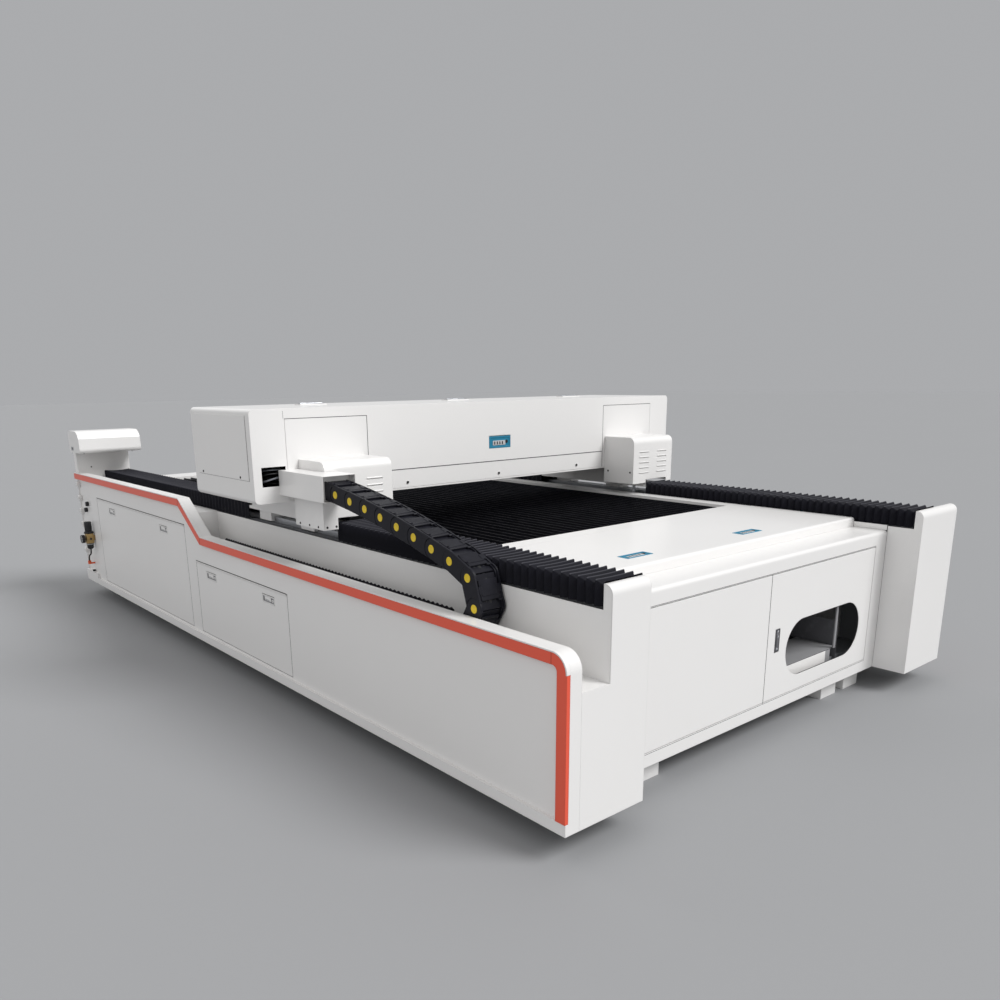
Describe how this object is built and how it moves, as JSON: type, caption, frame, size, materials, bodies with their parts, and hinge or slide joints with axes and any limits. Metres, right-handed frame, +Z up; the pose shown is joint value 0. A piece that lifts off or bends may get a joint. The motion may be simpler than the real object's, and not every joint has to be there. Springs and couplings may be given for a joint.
{
  "type": "carbon dioxide laser engraving machine",
  "caption": "Flatbed laser engraver with a travelling gantry on two side housings, a slatted table, a control console and a trough with a cable chain.",
  "frame": {"origin": "centre of the machine's bounding box, on the floor", "axes": "+Z up, +Y along the machine from the near end with the door towards the console, +X to the right seen from the near end"},
  "size_m": [2.25, 3.92, 1.093],
  "materials": {
    "white_paint": "satin powder coat",
    "frame_paint": "matt paint",
    "red_trim": "satin paint",
    "bellows_cloth": "coated cloth",
    "chain_plastic": "moulded",
    "black_plastic": "moulded",
    "blue_plastic": "moulded",
    "grey_plastic": "moulded",
    "red_plastic": "moulded",
    "bare_steel": "ground",
    "slat_steel": "dark",
    "sheet_zinc": "galvanised",
    "service_brass": "plain",
    "tube_glass": "clear",
    "hose_rubber": "smooth"
  },
  "bodies": {
    "bed": {"base_frame": "frame_paint", "machine_feet": "white_paint", "left_side_skirt": "white_paint", "right_side_skirt": "white_paint", "trim_strips": "red_trim", "left_near_column": "white_paint", "right_near_column": "white_paint", "left_trough": "white_paint", "right_trough": "white_paint", "far_columns": "white_paint", "near_fascia": "white_paint", "fixed_end_panel": "white_paint", "hatch_plate": "white_paint", "table_rim": "white_paint", "table_slats": "slat_steel", "slat_bearers": "slat_steel", "fume_hopper": "sheet_zinc", "far_end_panel": "white_paint", "linear_rails": "bare_steel", "left_near_bellows": "bellows_cloth", "left_far_bellows": "bellows_cloth", "right_near_bellows": "bellows_cloth", "right_far_bellows": "bellows_cloth", "left_front_access_panel": "white_paint", "left_rear_access_panel": "white_paint", "chain_anchor": "sheet_zinc", "filter_regulator": "service_brass", "air_hose": "hose_rubber", "hose_clips": "white_paint", "control_console": "white_paint", "debris_tray": "sheet_zinc", "laser_power_supply": "frame_paint", "drag_chain": "chain_plastic"},
    "end_door": {"end_door": "white_paint"},
    "door_lock": {"door_lock": "grey_plastic"},
    "left_hatch_latch": {"left_hatch_latch": "blue_plastic"},
    "right_hatch_latch": {"right_hatch_latch": "blue_plastic"},
    "front_panel_latch_a": {"front_panel_latch_a": "grey_plastic"},
    "front_panel_latch_b": {"front_panel_latch_b": "grey_plastic"},
    "rear_panel_latch_a": {"rear_panel_latch_a": "grey_plastic"},
    "rear_panel_latch_b": {"rear_panel_latch_b": "grey_plastic"},
    "regulator_knob": {"regulator_knob": "black_plastic"},
    "emergency_stop": {"emergency_stop": "red_plastic"},
    "left_pinion": {"left_pinion": "bare_steel"},
    "right_pinion": {"right_pinion": "bare_steel"},
    "gantry_latch": {"gantry_latch": "blue_plastic"},
    "head_carriage": {"head_carriage": "bare_steel"},
    "laser_head": {"laser_head": "bare_steel"},
    "gantry": {"gantry_cover": "white_paint", "gantry_frame": "frame_paint", "rail_carriages": "white_paint", "drive_motors": "black_plastic", "left_motor_cover": "white_paint", "right_motor_cover": "white_paint", "chain_bracket": "white_paint", "laser_tube": "tube_glass", "tube_supports": "bare_steel", "x_axis_drive": "bare_steel", "gantry_panels": "white_paint"}
  },
  "joints": [
    {"name": "gantry_travel", "type": "slide", "parent": "bed", "child": "gantry", "axis": [0, 1, 0], "range_m": [-0.75, 1.7], "deforming": ["left_near_bellows", "right_near_bellows", "left_far_bellows", "right_far_bellows", "drag_chain"]},
    {"name": "left_pinion_spin", "type": "hinge", "parent": "gantry", "child": "left_pinion", "pos_m": [-0.7872, -0.594, 0.638], "axis": [0, 0, 1], "range_deg": [-2160, 4880]},
    {"name": "right_pinion_spin", "type": "hinge", "parent": "gantry", "child": "right_pinion", "pos_m": [0.7872, -0.594, 0.638], "axis": [0, 0, 1], "range_deg": [-4880, 2160]},
    {"name": "head_travel", "type": "slide", "parent": "gantry", "child": "head_carriage", "axis": [1, 0, 0], "range_m": [-0.15, 1.15]},
    {"name": "head_lift", "type": "slide", "parent": "head_carriage", "child": "laser_head", "axis": [0, 0, 1], "range_m": [0, 0.06]},
    {"name": "end_door_swing", "type": "hinge", "parent": "bed", "child": "end_door", "pos_m": [0.6815, -1.83, 0.342], "axis": [0, 0, 1], "range_deg": [0, 100]},
    {"name": "door_lock_lift", "type": "hinge", "parent": "end_door", "child": "door_lock", "pos_m": [0.058, -1.832, 0.2925], "axis": [1, 0, 0], "range_deg": [0, 35]},
    {"name": "left_hatch_latch_lift", "type": "hinge", "parent": "bed", "child": "left_hatch_latch", "pos_m": [-0.403, -1.585, 0.644], "axis": [-1, 0, 0], "range_deg": [0, 35]},
    {"name": "right_hatch_latch_lift", "type": "hinge", "parent": "bed", "child": "right_hatch_latch", "pos_m": [0.198, -1.585, 0.644], "axis": [-1, 0, 0], "range_deg": [0, 35]},
    {"name": "front_panel_latch_a_lift", "type": "hinge", "parent": "bed", "child": "front_panel_latch_a", "pos_m": [-1.046, -0.388, 0.402], "axis": [0, 1, 0], "range_deg": [0, 35]},
    {"name": "front_panel_latch_b_lift", "type": "hinge", "parent": "bed", "child": "front_panel_latch_b", "pos_m": [-1.046, 0.135, 0.402], "axis": [0, 1, 0], "range_deg": [0, 35]},
    {"name": "rear_panel_latch_a_lift", "type": "hinge", "parent": "bed", "child": "rear_panel_latch_a", "pos_m": [-1.046, 0.647, 0.542], "axis": [0, 1, 0], "range_deg": [0, 35]},
    {"name": "rear_panel_latch_b_lift", "type": "hinge", "parent": "bed", "child": "rear_panel_latch_b", "pos_m": [-1.046, 1.384, 0.542], "axis": [0, 1, 0], "range_deg": [0, 35]},
    {"name": "gantry_latch_lift", "type": "hinge", "parent": "gantry", "child": "gantry_latch", "pos_m": [0.008, -0.501, 0.9425], "axis": [-1, 0, 0], "range_deg": [0, 35]},
    {"name": "regulator_knob_turn", "type": "hinge", "parent": "bed", "child": "regulator_knob", "pos_m": [-1.07, 1.79, 0.388], "axis": [0, 0, 1], "continuous": true},
    {"name": "emergency_stop_press", "type": "slide", "parent": "bed", "child": "emergency_stop", "axis": [0, -1, 0], "range_m": [0, 0.005]}
  ],
  "couplings": [
    {"joint": "left_pinion_spin", "follows": "gantry_travel", "rad_per_m": 50},
    {"joint": "right_pinion_spin", "follows": "gantry_travel", "rad_per_m": -50}
  ]
}
